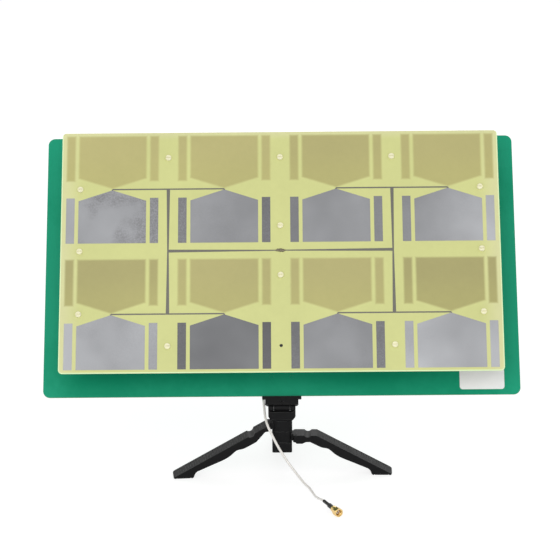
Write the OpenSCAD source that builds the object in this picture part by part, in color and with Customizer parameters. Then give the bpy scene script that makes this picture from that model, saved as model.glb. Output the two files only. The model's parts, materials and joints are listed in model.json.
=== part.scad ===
// Wideband panel antenna: a printed dipole board on nylon spacers in front of a
// reflector board, carried by a small tripod whose three legs turn on one spigot.
// X is to the right, Y points to the back, Z is up. Millimetres.

/* [Boards] */
// Width of the antenna board
board_w = 440; // [400:1:460]
// Height of the antenna board
board_h = 250; // [246:1:260]
// Width of the reflector board
reflector_w = 480; // [470:1:520]
// Height of the reflector board
reflector_h = 275; // [272:1:280]
// Thickness of both boards
board_t = 1.6; // [1:0.1:2.4]
// Length of the spacers between the boards
spacer_len = 50; // [48:0.5:52]
// Backward lean of the panel from upright, in degrees
lean = 31; // [25:0.5:38]

/* [Dipoles] */
// Distance between neighbouring dipole columns
column_pitch = 112.5; // [108:0.5:114]
// Distance between the two dipole rows
row_pitch = 130; // [128:0.5:132]
// Width of a dipole patch
patch_w = 68; // [60:0.5:70]
// Distance from the row line to the far end of a dipole half
patch_reach = 56.5; // [52:0.5:58]
// Width of the narrow strip at each side of a patch
strip_w = 8.5; // [6:0.5:9]
// Clear gap between patch and strip
strip_gap = 3.8; // [2:0.1:5]

/* [Tripod] */
// Height of the tilt pin above the table
pivot_z = 68; // [67:0.5:72]
// Width of a leg and of its hub
leg_w = 20; // [18:0.5:21]
// Distance from the spigot axis to the tip of a leg
tip_r = 111; // [108:1:120]
// Azimuth of the left leg, in degrees
left_turn = 185.5; // [180:0.5:200]
// Azimuth of the right leg, in degrees
right_turn = -2; // [-20:0.5:0]

/* [Lead] */
// Diameter of the coaxial lead
lead_d = 2.5; // [2.2:0.1:2.6]
// Turn of the plug on the table, in degrees
plug_turn = -67; // [-70:1:-63]

/* [Hidden] */
$fn = 48;

// Panel frame: X to the right, Y into the panel from the front face, Z up the board.
reflector_y = board_t + spacer_len;
rear_face = reflector_y + board_t;
pivot_back = 62;
pivot_drop = 147.5;
// Whole width in Y is from the antenna board's lower edge to the reflector's upper edge.
board_dy = pivot_drop * sin(lean) - pivot_back * cos(lean);
y_front = board_dy - board_h / 2 * sin(lean);
y_back = board_dy + rear_face * cos(lean) + reflector_h / 2 * sin(lean);
post_y = -(y_front + y_back) / 2;
board_y = post_y + board_dy;
board_z = pivot_z + pivot_back * sin(lean) + pivot_drop * cos(lean);

copper_t = 0.1;
column_x = [for (i = [-1.5:1:1.5]) i * column_pitch];
row_z = [row_pitch / 2, -row_pitch / 2];
apex_gap = 1;
shoulder = 12;
strip_start = 9;

// Places of the spacers on the panel; the last one is held by the bracket's stud.
screw_spots = [[-column_pitch, 98], [0, 98], [column_pitch, 98],
    [-column_pitch, -98], [column_pitch, -98],
    [-201, 65], [-201, 0], [-201, -65], [201, 65], [201, 0], [201, -65],
    [0, 25.7], [0, -25.7]];
stud_spot = [0, -98];
spacer_af = 5.5;
screw_hole_r = 1.65;
thread_r = 1.25;

label_w = 45;
label_h = 30;
label_spot = [201.5, -117];

bracket_w = 30;
bracket_t = 2;
bracket_top = -84;
platform_top = -138;
platform_t = 3;
platform_back = 84;
bracket_screw_x = 10;
bracket_screw_z = -118;
camera_spot = 74;

// Tripod heights
hub_gap = 0.3;
back_hub = [24, 34.2];
right_hub = [back_hub[1] + hub_gap, 45.8];
left_hub = [right_hub[1] + hub_gap, 57.4];
yoke_z = left_hub[1] + hub_gap;
yoke_w = 27.5;
yoke_d = 24;
spigot_r = 5;
running = 0.06;
pin_r = 2;
knuckle_w = 16;
knuckle_r = 6;
pin_head_r = 3.2;
pin_head_h = 2;
tilt_nut_af = 6.8;
tilt_nut_h = 2.4;
tip_z = 1.6;
arm_fall = 28.1;
arm_depth_full = 10.2;
root_r = 13;
pad_from = 93;
pad_to = 108;
pad_top = 1.6;
ground_gap = 0.4;

// Lead: hand-placed points from the spigot axis, the tilt pin's axis lies at [0, pivot_z].
upper_route = [[0, 70.6, 197.7], [0, 77.4, 193.6], [-1.5, 82.6, 186], [-4, 84, 175],
    [-8, 79, 160], [-12, 69, 144], [-15.5, 56, 128], [-18.5, 40, 110],
    [-19.6, 24, 93.5], [-19.2, 11, 81.5], [-17.9, 0.4, 68.8]];
lower_route = [[-17.7, -0.4, 67.4], [-16.8, -8.4, 61.4], [-14.4, -16, 55], [-10.4, -20, 47],
    [-5.8, -22.2, 38], [-0.4, -24.8, 29], [5.2, -27.8, 20.8], [11.2, -31.4, 13.4],
    [16.8, -36.6, 7.5], [22, -43.6, 3.4], [27, -53, 1.7], [29.9, -63.5, 1.3], [32.4, -73.5, 1.3],
    [35.2, -82.6, 2.4], [38.3, -90.9, 4.2], [40.7, -96.6, 4.8]];
plug_spot = [40.7, -96.6, 4.8];
ring_sides = 8;

// Plug sizes along its own axis, measured from the rear of the body to the mouth
sleeve_len = 22;
nut_from = 4.3;
nut_to = 13;
nut_af = 8;

// ---------- helpers ----------

module on_panel() {
    translate([0, board_y, board_z]) rotate([-lean, 0, 0]) children();
}

// A flat outline drawn in X and Z, made t thick towards the back from depth y
module plate(y, t) {
    translate([0, y + t, 0]) rotate([90, 0, 0]) linear_extrude(t) children();
}

// A round bar or bore along Y from depth y
module bar_y(y, len, r, n = 48) {
    translate([0, y, 0]) rotate([-90, 0, 0]) cylinder(h = len, r = r, $fn = n);
}

module bar_x(len, r) {
    rotate([0, 90, 0]) cylinder(h = len, r = r, center = true);
}

module rounded(w, h, r) {
    square([w - 2 * r, h], center = true);
    square([w, h - 2 * r], center = true);
    for (x = [-1, 1], y = [-1, 1]) translate([x * (w / 2 - r), y * (h / 2 - r)]) circle(r);
}

module at_spots(spots) {
    for (p = spots) translate([p[0], 0, p[1]]) children();
}

module on_post() {
    translate([0, post_y, 0]) children();
}

module at_plug() {
    on_post() translate(plug_spot) rotate([0, 0, plug_turn]) translate([sleeve_len, 0, 0])
        rotate([0, 90, 0]) children();
}

// ---------- panel ----------

module antenna_board() {
    color([0.86, 0.87, 0.6]) on_panel() difference() {
        plate(0, board_t) rounded(board_w, board_h, 4);
        at_spots(concat(screw_spots, [stud_spot])) bar_y(-1, board_t + 2, screw_hole_r);
        bar_y(-1, board_t + 2, 0.6);
    }
}

// One half of a dipole pointing down from its row line: patch with a blunt apex, two strips
module dipole_half() {
    polygon([[-0.8, -apex_gap], [0.8, -apex_gap], [patch_w / 2, -shoulder],
        [patch_w / 2, -patch_reach], [-patch_w / 2, -patch_reach], [-patch_w / 2, -shoulder]]);
    for (s = [-1, 1]) translate([s * (patch_w / 2 + strip_gap + strip_w / 2), 0])
        translate([-strip_w / 2, -patch_reach]) square([strip_w, patch_reach - strip_start]);
}

// Feed lines: wide at one end and narrow at the other, from the centre to all eight dipoles
module feed_network(reach) {
    for (s = [-1, 1]) {
        polygon([[0, -0.5], [0, 0.5], [s * column_pitch, 1.5], [s * column_pitch, -1.5]]);
        for (t = [-1, 1]) {
            translate([s * column_pitch, 0]) polygon([[-0.8, 0], [0.8, 0],
                [1.7, t * row_pitch / 2], [-1.7, t * row_pitch / 2]]);
            translate([s * column_pitch, t * row_pitch / 2])
                square([column_pitch, 1.4], center = true);
            for (u = [-1, 1]) translate([s * column_pitch + u * column_pitch / 2, t * row_pitch / 2])
                translate([-0.8, min(0, reach)]) square([1.6, abs(reach)]);
        }
    }
}

module front_copper() {
    color([0.62, 0.63, 0.65]) on_panel() plate(-copper_t, copper_t) {
        for (x = column_x, z = row_z) translate([x, z]) dipole_half();
        feed_network(-apex_gap - 0.2);
    }
}

module rear_copper() {
    color([0.74, 0.6, 0.38]) on_panel() plate(board_t, copper_t) difference() {
        union() {
            for (x = column_x, z = row_z) translate([x, z]) mirror([0, 1]) dipole_half();
            feed_network(apex_gap + 0.2);
        }
        circle(0.6);
    }
}

// Flat-bottomed dome that solder makes round a wire
module solder_dome(r, h) {
    rotate([90, 0, 0]) rotate_extrude() intersection() {
        translate([0, h - (r * r + h * h) / (2 * h)]) circle((r * r + h * h) / (2 * h));
        square([r, h]);
    }
}

module feed_solder() {
    color([0.55, 0.5, 0.42]) on_panel() translate([0, -copper_t, 0]) {
        solder_dome(2.6, 1.3);
        for (s = [-1, 1]) translate([s * 3.2, 0, 0]) solder_dome(1.8, 0.8);
    }
}

module reflector_board() {
    color([0.14, 0.57, 0.43]) on_panel() difference() {
        plate(reflector_y, board_t) rounded(reflector_w, reflector_h, 7);
        at_spots(concat(screw_spots, [stud_spot]))
            bar_y(reflector_y - 1, board_t + 2, screw_hole_r);
        bar_y(reflector_y - 1, board_t + 2, 3);
        at_spots([for (s = [-1, 1]) [s * bracket_screw_x, bracket_screw_z]])
            bar_y(reflector_y - 1, board_t + 2, 2.15);
    }
}

module blank_label() {
    color([0.93, 0.93, 0.93]) on_panel() translate([label_spot[0], 0, label_spot[1]])
        plate(reflector_y - 0.15, 0.15) rounded(label_w, label_h, 3);
}

// Hexagonal nylon spacer tapped from both ends
module spacer() {
    difference() {
        bar_y(board_t + copper_t, spacer_len - copper_t, spacer_af / sqrt(3), 6);
        bar_y(board_t, 9, thread_r);
        bar_y(reflector_y - 9, 9, thread_r);
    }
}

module standoffs() {
    color([0.95, 0.95, 0.93]) on_panel() {
        at_spots(screw_spots) spacer();
        at_spots([stud_spot]) difference() {
            bar_y(board_t + copper_t, spacer_len - copper_t, spacer_af / sqrt(3), 6);
            bar_y(board_t, spacer_len, 1.5);
        }
    }
}

// Pan-head screw with a straight slot, its head outside and its shank along +Y
module pan_screw(head_r, head_h, shank_r, len) {
    round_r = min(0.7, head_h / 2);
    rotate([-90, 0, 0]) difference() {
        union() {
            translate([0, 0, -head_h]) rotate_extrude() union() {
                translate([0, round_r]) square([head_r, head_h - round_r]);
                square([head_r - round_r, head_h]);
                translate([head_r - round_r, round_r]) circle(round_r);
            }
            cylinder(h = len, r = shank_r);
        }
        translate([0, 0, -head_h]) cube([2 * head_r + 1, 0.9, 1.4], center = true);
    }
}

module front_screws() {
    color([0.96, 0.96, 0.94]) on_panel() at_spots(screw_spots)
        pan_screw(3, 2.1, thread_r, board_t + 6);
}

module rear_screws() {
    color([0.96, 0.96, 0.94]) on_panel() translate([0, rear_face, 0]) at_spots(screw_spots)
        mirror([0, 1, 0]) pan_screw(3, 2.1, thread_r, board_t + 6);
}

module bracket_stud() {
    color([0.05, 0.05, 0.05]) on_panel() at_spots([stud_spot])
        bar_y(0, rear_face + bracket_t + 4, 1.5);
}

module cable_grommet() {
    color([0.08, 0.08, 0.08]) on_panel() translate([0, reflector_y - 1.4, 0])
        rotate([-90, 0, 0]) rotate_extrude() difference() {
            translate([lead_d / 2 + 0.05, 0]) square([5 - lead_d / 2 - 0.05, board_t + 2.8]);
            translate([2.98, 1.38]) square([4, board_t + 0.04]);
        }
}

module feed_coax() {
    color([0.9, 0.86, 0.82]) on_panel() {
        bar_y(board_t + copper_t, rear_face + 2.5 - board_t - copper_t, lead_d / 2);
        bar_y(-copper_t, board_t + 3 * copper_t, 0.25);
    }
}

// ---------- tilting head ----------

// Bent strip: one wing up the reflector's back, one wing on the platform
module mount_bracket() {
    foot_to = platform_back - 1;
    bend = 3;
    color([0.12, 0.12, 0.13]) on_panel() difference() {
        translate([-bracket_w / 2, 0, 0]) rotate([90, 0, 90]) linear_extrude(bracket_w)
            difference() {
                translate([rear_face, platform_top])
                    square([foot_to - rear_face, bracket_top - platform_top]);
                translate([rear_face + bracket_t + bend, platform_top + bracket_t])
                    square([foot_to, bracket_top - platform_top]);
                translate([rear_face + bracket_t, platform_top + bracket_t + bend])
                    square([foot_to, bracket_top - platform_top]);
                translate([rear_face + bracket_t + bend, platform_top + bracket_t + bend])
                    circle(bend);
            }
        at_spots([stud_spot]) bar_y(rear_face - 1, bracket_t + 2, 1.6);
        at_spots([for (s = [-1, 1]) [s * bracket_screw_x, bracket_screw_z]])
            bar_y(rear_face - 1, bracket_t + 2, 2.15);
        translate([0, camera_spot, platform_top - 1]) cylinder(h = bracket_t + 2, r = 3.25);
    }
}

module bracket_screws() {
    color([0.07, 0.07, 0.07]) on_panel() translate([0, reflector_y, 0])
        at_spots([for (s = [-1, 1]) [s * bracket_screw_x, bracket_screw_z]])
            pan_screw(3.8, 2.4, 2, 2 * board_t + bracket_t + 3);
}

module hex_nut_y(y, af, h, hole_r) {
    difference() {
        bar_y(y, h, af / sqrt(3), 6);
        bar_y(y - 1, h + 2, hole_r);
    }
}

module bracket_nuts() {
    back = rear_face + bracket_t;
    color([0.7, 0.7, 0.72]) on_panel() {
        at_spots([for (s = [-1, 1]) [s * bracket_screw_x, bracket_screw_z]])
            hex_nut_y(back, 7, 3.2, 2);
        at_spots([stud_spot]) hex_nut_y(back, 5.5, 2.4, 1.5);
    }
}

// Platform with a wide front lip, and the hinge knuckle under it
module head_platform() {
    lip_w = 39.5;
    apron_w = 33.4;
    color([0.1, 0.1, 0.1]) on_panel() difference() {
        union() {
            translate([0, (49 + platform_back) / 2, platform_top - platform_t])
                linear_extrude(platform_t) rounded(32, platform_back - 49, 3);
            translate([0, 50.75, platform_top - platform_t]) linear_extrude(platform_t)
                rounded(lip_w, 3.5, 1.7);
            translate([0, 51.3, platform_top - platform_t - 5.6]) linear_extrude(6)
                rounded(apron_w, 4.6, 1.5);
            translate([-knuckle_w / 2, 0, 0]) rotate([90, 0, 90]) linear_extrude(knuckle_w) {
                translate([pivot_back, -pivot_drop]) circle(knuckle_r);
                translate([pivot_back - knuckle_r, -pivot_drop])
                    square([2 * knuckle_r, pivot_drop + platform_top - 0.5]);
            }
        }
        translate([0, pivot_back, -pivot_drop]) bar_x(knuckle_w + 2, pin_r + running);
        translate([0, camera_spot, platform_top - platform_t - 1])
            cylinder(h = platform_t + 2, r = 3.2);
        translate([0, camera_spot, platform_top - platform_t - 1]) cylinder(h = 2.2, r = 5.02);
        translate([0, 48.5, platform_top - platform_t - 2.6]) rotate([-90, 0, 0])
            cylinder(h = 3, r = 1.2);
    }
}

module camera_stud() {
    color([0.72, 0.72, 0.74]) on_panel()
        translate([0, camera_spot, platform_top - platform_t]) {
            cylinder(h = platform_t + bracket_t + 7.5, r = 3.175);
            cylinder(h = 1.2, r = 5);
        }
}

module camera_nut() {
    color([0.7, 0.7, 0.72]) on_panel()
        translate([0, camera_spot, platform_top + bracket_t]) difference() {
            cylinder(h = 5.5, r = 11.1 / sqrt(3), $fn = 6);
            translate([0, 0, -1]) cylinder(h = 8, r = 3.175);
        }
}

// Trunk with two cheeks round the tilt pin, chamfered below, and the spigot for the hubs
module head_yoke() {
    cheek_r = 6;
    top = pivot_z + cheek_r;
    chamfer = 4;
    slot_front = -7.2;
    color([0.09, 0.09, 0.09]) on_post() difference() {
        union() {
            intersection() {
                translate([0, 0, yoke_z]) linear_extrude(top - yoke_z)
                    rounded(yoke_w, yoke_d, 5);
                translate([0, yoke_d / 2, 0]) rotate([90, 0, 0]) linear_extrude(yoke_d)
                    polygon([[-yoke_w / 2 + chamfer, yoke_z], [yoke_w / 2 - chamfer, yoke_z],
                        [yoke_w / 2, yoke_z + chamfer], [yoke_w / 2, top],
                        [-yoke_w / 2, top], [-yoke_w / 2, yoke_z + chamfer]]);
                translate([-yoke_w / 2, 0, 0]) rotate([90, 0, 90]) linear_extrude(yoke_w) {
                    translate([0, pivot_z]) circle(cheek_r);
                    polygon([[-cheek_r, pivot_z], [-yoke_d / 2, pivot_z - 0.5],
                        [-yoke_d / 2, yoke_z + 2], [-yoke_d / 2 + 2, yoke_z],
                        [yoke_d / 2 - 2, yoke_z], [yoke_d / 2, yoke_z + 2],
                        [yoke_d / 2, pivot_z - 7], [cheek_r, pivot_z]]);
                }
            }
            translate([0, 0, back_hub[0] + 1.8]) cylinder(h = yoke_z - back_hub[0], r = spigot_r);
        }
        translate([-knuckle_w / 2 - 0.4, slot_front, pivot_z - knuckle_r - 0.5])
            cube([knuckle_w + 0.8, yoke_d, 20]);
        translate([0, 0, pivot_z]) bar_x(yoke_w + 2, pin_r + 0.02);
        translate([yoke_w / 2 - pin_head_h - 0.2, 0, pivot_z]) rotate([0, 90, 0])
            cylinder(h = 5, r = pin_head_r + 0.1);
        translate([-yoke_w / 2 + tilt_nut_h + 0.2, 0, pivot_z]) rotate([0, -90, 0])
            cylinder(h = 5, r = (tilt_nut_af + 0.2) / sqrt(3), $fn = 6);
        translate([0, 0, back_hub[0]]) cylinder(h = 12, r = 1.6);
    }
}

// Socket-head screw across the cheeks, its head sunk on the right and its nut on the left
module tilt_pin() {
    head_x = yoke_w / 2 - pin_head_h - 0.2;
    color([0.75, 0.75, 0.77]) on_post() translate([head_x, 0, pivot_z])
        rotate([0, 90, 0]) difference() {
            union() {
                translate([0, 0, 0.4 - 2 * head_x - pin_head_h])
                    cylinder(h = 2 * head_x + pin_head_h - 0.4, r = pin_r);
                cylinder(h = pin_head_h, r = pin_head_r);
            }
            translate([0, 0, 0.6]) cylinder(h = 3, r = 2.5 / sqrt(3), $fn = 6);
        }
}

module tilt_nut() {
    color([0.7, 0.7, 0.72]) on_post() translate([-yoke_w / 2 + 0.2, 0, pivot_z])
        rotate([0, 90, 0]) difference() {
            cylinder(h = tilt_nut_h, r = tilt_nut_af / sqrt(3), $fn = 6);
            translate([0, 0, -1]) cylinder(h = 6, r = pin_r);
        }
}

// ---------- legs ----------

// Height of a leg's upper edge and of its waved underside at distance r from the spigot
function arm_top(r) = tip_z + (tip_r - r) * tan(arm_fall);
function arm_depth(r) = arm_depth_full - 0.115 * max(0, r - 60) - 2.4 * exp(-pow((r - 47) / 5, 2));
function arm_bottom(r) = arm_top(r) - arm_depth(r);

// Side outline: level or sloping root, straight arm, flat foot with a rounded heel
module leg_outline(bend_r, root, wave_r) {
    polygon(concat(
        [[root[len(root) - 1][0], arm_top(bend_r)], [bend_r, arm_top(bend_r)], [tip_r, tip_z],
            [tip_r - 0.6, ground_gap], [pad_to, ground_gap], [pad_to, pad_top],
            [pad_from, pad_top], [pad_from, ground_gap], [92, ground_gap], [90.6, 1.4],
            [89.8, 3.6], [89, 5.4]],
        [for (r = [87:-2:wave_r]) [r, arm_bottom(r)]],
        root));
}

module leg_ribs(bend_r) {
    rib_pitch = 2.5;
    for (r = [bend_r + 5:rib_pitch:tip_r - 5]) translate([r, 0, arm_top(r)])
        rotate([0, arm_fall, 0]) cube([0.9, leg_w - 5, 0.9], center = true);
    for (s = [-1, 1]) translate([bend_r, s * (leg_w / 2 - 1.6), arm_top(bend_r)])
        rotate([0, arm_fall, 0]) translate([0, -0.3, -0.4]) cube([tip_r, 0.6, 2]);
}

module leg(hub, corner_r, bend_r, root, wave_r, notch_r) {
    notch = 4.4;
    from_r = root[len(root) - 1][0];
    difference() {
        union() {
            intersection() {
                translate([0, leg_w / 2, 0]) rotate([90, 0, 0]) linear_extrude(leg_w)
                    leg_outline(bend_r, root, wave_r);
                translate([(from_r + tip_r) / 2, 0, 0]) linear_extrude(70)
                    rounded(tip_r - from_r, leg_w, 2.5);
            }
            translate([0, 0, hub[0]]) linear_extrude(hub[1] - hub[0])
                rounded(leg_w, leg_w, corner_r);
            translate([0, -6, max(hub[0] + 0.6, root[len(root) - 1][1] + 0.6)])
                cube([root_r + 2, 12, 7]);
        }
        translate([0, 0, hub[0] - 1]) cylinder(h = hub[1] - hub[0] + 2, r = spigot_r + running);
        translate([notch_r, 0, arm_top(max(notch_r, bend_r)) + 2.6]) rotate([90, 0, 0])
            cylinder(h = leg_w + 2, r = notch, center = true);
        leg_ribs(bend_r);
    }
}

module foot_pad() {
    translate([(pad_from + pad_to) / 2, 0, 0]) linear_extrude(pad_top)
        rounded(pad_to - pad_from, leg_w - 3, 2);
}

module left_leg() {
    color([0.1, 0.1, 0.1]) on_post() rotate([0, 0, left_turn])
        leg(left_hub, 6.5, root_r, [[18, 46.4], [root_r, 47.2]], 27, 33);
}

module right_leg() {
    color([0.1, 0.1, 0.1]) on_post() rotate([0, 0, right_turn])
        leg(right_hub, 6.5, 35, [[28.5, 35.2], [24.5, 35.2], [20.5, 33.4], [15, 33.4],
            [13.6, 34.8], [11.3, 34.8]], 37, 26);
}

module back_leg() {
    color([0.1, 0.1, 0.1]) on_post() rotate([0, 0, 90]) difference() {
        leg(back_hub, 2, 55, [[33, 22.4], [28.5, 24.6], [24.5, 24.6], [20.5, 22.8],
            [root_r, 22.8]], 57, 26);
        translate([0, 0, back_hub[0] - 1]) cylinder(h = 3.1, r = 7.8);
    }
}

module left_foot_pad() {
    color([0.05, 0.05, 0.05]) on_post() rotate([0, 0, left_turn]) foot_pad();
}

module right_foot_pad() {
    color([0.05, 0.05, 0.05]) on_post() rotate([0, 0, right_turn]) foot_pad();
}

module back_foot_pad() {
    color([0.05, 0.05, 0.05]) on_post() rotate([0, 0, 90]) foot_pad();
}

module hub_washer() {
    color([0.7, 0.7, 0.72]) on_post() translate([0, 0, back_hub[0] + 0.8]) difference() {
        cylinder(h = 1, r = 7.2);
        translate([0, 0, -1]) cylinder(h = 3, r = 1.7);
    }
}

module hub_screw() {
    color([0.7, 0.7, 0.72]) on_post() translate([0, 0, back_hub[0] + 0.8])
        rotate([90, 0, 0]) pan_screw(3, 1.2, 1.6, 10);
}

// ---------- lead and plug ----------

// Catmull-Rom point between b and c, at t from 0 to 1
function between(a, b, c, d, t) = 0.5 * (2 * b + (c - a) * t + (2 * a - 5 * b + 4 * c - d) * t * t
    + (3 * b - a - 3 * c + d) * t * t * t);
function smooth(p, steps) = concat([for (i = [0:len(p) - 2], k = [0:steps - 1])
    between(p[max(i - 1, 0)], p[i], p[i + 1], p[min(i + 2, len(p) - 1)], k / steps)],
    [p[len(p) - 1]]);
function unit(v) = v / norm(v);
function heading(p, i) = unit(p[min(i + 1, len(p) - 1)] - p[max(i - 1, 0)]);
function lead_ring(p, i, r) = let (t = heading(p, i), u = unit(cross(t, [1, 0, 0])), v = cross(u, t))
    [for (k = [0:ring_sides - 1]) p[i] + r * (u * cos(k * 360 / ring_sides)
        + v * sin(k * 360 / ring_sides))];

// Round tube swept along the points of a path
module lead_tube(p, r) {
    n = len(p);
    s = ring_sides;
    polyhedron(
        points = [for (i = [0:n - 1]) each lead_ring(p, i, r)],
        faces = concat(
            [[for (k = [0:s - 1]) k]],
            [for (i = [0:n - 2], k = [0:s - 1])
                [i * s + k, (i + 1) * s + k, (i + 1) * s + (k + 1) % s, i * s + (k + 1) % s]],
            [[for (k = [s - 1:-1:0]) (n - 1) * s + k]]),
        convexity = 6);
}

module coax_upper() {
    color([0.9, 0.86, 0.82]) on_post() lead_tube(smooth(upper_route, 2), lead_d / 2);
}

module coax_lower() {
    tail = [for (d = [sleeve_len / 2, sleeve_len - 0.5])
        plug_spot + d * [cos(plug_turn), sin(plug_turn), 0]];
    color([0.9, 0.86, 0.82]) on_post()
        lead_tube(concat(smooth(lower_route, 2), tail), lead_d / 2);
}

module heat_shrink() {
    color([0.05, 0.05, 0.05]) at_plug() rotate_extrude() polygon([[1.3, -sleeve_len],
        [1.65, -sleeve_len], [1.65, -11], [2.35, -9.6], [2.35, 0], [1.95, 0], [1.95, -9],
        [1.3, -9]]);
}

module crimp_ferrule() {
    color([0.8, 0.62, 0.25]) at_plug() rotate_extrude() polygon([[1.5, -8.8], [1.95, -8.8],
        [1.95, -0.2], [1.5, -0.2]]);
}

module plug_body() {
    color([0.8, 0.62, 0.25]) at_plug() rotate_extrude() polygon([[1.3, -7], [1.5, -7],
        [1.5, 0], [2.8, 0], [3.2, 0.4], [3.2, 3.6], [2.8, 4], [2.6, 4], [2.6, 6.4],
        [2.9, 6.4], [2.9, 7.4], [2.3, 7.4], [2.3, 9.2], [2.05, 9.2], [2.05, 7], [0.46, 7],
        [0.46, 6.5], [0, 6.5], [0, 0], [1.3, 0]]);
}

module plug_insulator() {
    color([0.95, 0.95, 0.93]) at_plug() translate([0, 0, 7]) difference() {
        cylinder(h = 2.2, r = 2.05);
        translate([0, 0, -1]) cylinder(h = 4, r = 0.46);
    }
}

module plug_pin() {
    color([0.8, 0.62, 0.25]) at_plug() rotate_extrude() polygon([[0, 6.5], [0.46, 6.5],
        [0.46, 10.9], [0.15, 11.6], [0, 11.6]]);
}

module plug_gasket() {
    color([0.7, 0.25, 0.15]) at_plug() translate([0, 0, 7.4]) difference() {
        cylinder(h = 0.7, r = 2.85);
        translate([0, 0, -1]) cylinder(h = 3, r = 2.3);
    }
}

// Nut with a round collar, a hexagon whose corners are turned off, and a plain rim
module coupling_nut() {
    color([0.83, 0.65, 0.27]) at_plug() difference() {
        union() {
            translate([0, 0, nut_from]) cylinder(h = 2.4, r = 3.8);
            intersection() {
                translate([0, 0, nut_from + 2.2])
                    cylinder(h = nut_to - nut_from - 2.2, r = nut_af / sqrt(3), $fn = 6);
                rotate_extrude() polygon([[0, nut_from + 2.2], [4, nut_from + 2.2],
                    [4.55, nut_from + 2.8], [4.55, nut_to - 0.6], [4, nut_to], [0, nut_to]]);
            }
        }
        translate([0, 0, nut_from - 1]) cylinder(h = 4, r = 2.6 + running);
        translate([0, 0, 6.1]) cylinder(h = nut_to, r = 3.05);
    }
}

antenna_board();
front_copper();
rear_copper();
feed_solder();
reflector_board();
blank_label();
standoffs();
front_screws();
rear_screws();
bracket_stud();
cable_grommet();
feed_coax();
mount_bracket();
bracket_screws();
bracket_nuts();
head_platform();
camera_stud();
camera_nut();
head_yoke();
tilt_pin();
tilt_nut();
left_leg();
right_leg();
back_leg();
left_foot_pad();
right_foot_pad();
back_foot_pad();
hub_washer();
hub_screw();
coax_upper();
coax_lower();
heat_shrink();
crimp_ferrule();
plug_body();
plug_insulator();
plug_pin();
plug_gasket();
coupling_nut();
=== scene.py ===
"""Looks of a wideband panel antenna that leans on a folding mini tripod."""

import json
import math

import bmesh
import bpy
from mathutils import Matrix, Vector


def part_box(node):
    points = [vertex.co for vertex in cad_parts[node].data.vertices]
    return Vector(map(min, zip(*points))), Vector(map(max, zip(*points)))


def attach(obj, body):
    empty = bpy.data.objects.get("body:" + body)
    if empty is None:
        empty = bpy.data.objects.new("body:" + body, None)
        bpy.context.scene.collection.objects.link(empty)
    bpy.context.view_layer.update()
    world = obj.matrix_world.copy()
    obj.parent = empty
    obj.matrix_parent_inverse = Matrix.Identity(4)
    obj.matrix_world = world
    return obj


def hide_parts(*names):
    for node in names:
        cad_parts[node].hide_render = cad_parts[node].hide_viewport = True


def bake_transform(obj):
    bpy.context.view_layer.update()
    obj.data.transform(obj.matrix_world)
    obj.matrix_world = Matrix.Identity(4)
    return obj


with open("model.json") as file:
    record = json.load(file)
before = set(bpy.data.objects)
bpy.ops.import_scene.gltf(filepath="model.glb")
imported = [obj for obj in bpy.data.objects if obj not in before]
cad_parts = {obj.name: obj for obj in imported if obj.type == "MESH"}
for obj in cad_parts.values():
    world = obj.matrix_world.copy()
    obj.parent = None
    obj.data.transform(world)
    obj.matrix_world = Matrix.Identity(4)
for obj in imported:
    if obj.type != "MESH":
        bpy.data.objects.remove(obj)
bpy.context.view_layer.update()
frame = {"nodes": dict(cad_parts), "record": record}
nodes = frame["nodes"]

MM = 0.001
LEAN = math.radians(31)

# The panel's boards, in millimetres.
BOARD_HALF_WIDE = 220
BOARD_HALF_TALL = 125
BOARD_HALF_THICK = 0.8
BOARD_CORNER = 4
REFLECTOR_HALF_WIDE = 240
REFLECTOR_DEPTH = 51.6


def middle(node):
    """Middle of a node's box."""
    low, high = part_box(node)
    return (low + high) / 2


# The panel's own directions, the middle of the front board's face, and the tripod's post.
DEPTH_WAY = Vector((0, math.cos(LEAN), -math.sin(LEAN)))
UP_WAY = Vector((0, math.sin(LEAN), math.cos(LEAN)))
BOARD_SPOT = middle("antenna_board") - DEPTH_WAY * BOARD_HALF_THICK * MM
POST_Y = middle("tilt_pin").y


def on_panel(x, depth, up):
    """A point of the panel, in millimetres to the right, into the panel and up the board."""
    return BOARD_SPOT + (Vector((x, 0, 0)) + DEPTH_WAY * depth + UP_WAY * up) * MM


# ---------- camera ----------

CAMERA_PLACE = (0.0086, -2.1822, 0.7869)
CAMERA_TURN = (74.662, 0.510, 0.110)
FOCAL_LENGTH = 143.36
SENSOR_WIDE = 36
FAR_LIMIT = 40


def add_camera():
    """Long lens in front, a little above the panel's middle."""
    lens = bpy.data.cameras.new("studio_camera")
    lens.lens = FOCAL_LENGTH
    lens.sensor_width = SENSOR_WIDE
    lens.clip_end = FAR_LIMIT
    camera = bpy.data.objects.new("studio_camera", lens)
    bpy.context.scene.collection.objects.link(camera)
    camera.location = CAMERA_PLACE
    camera.rotation_euler = [math.radians(angle) for angle in CAMERA_TURN]
    bpy.context.scene.camera = camera


add_camera()

# ---------- lead ----------

LEAD_WIDE = 2.5 * MM
LEAD_SIDES = 20
LINE_STEPS = 8
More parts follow.
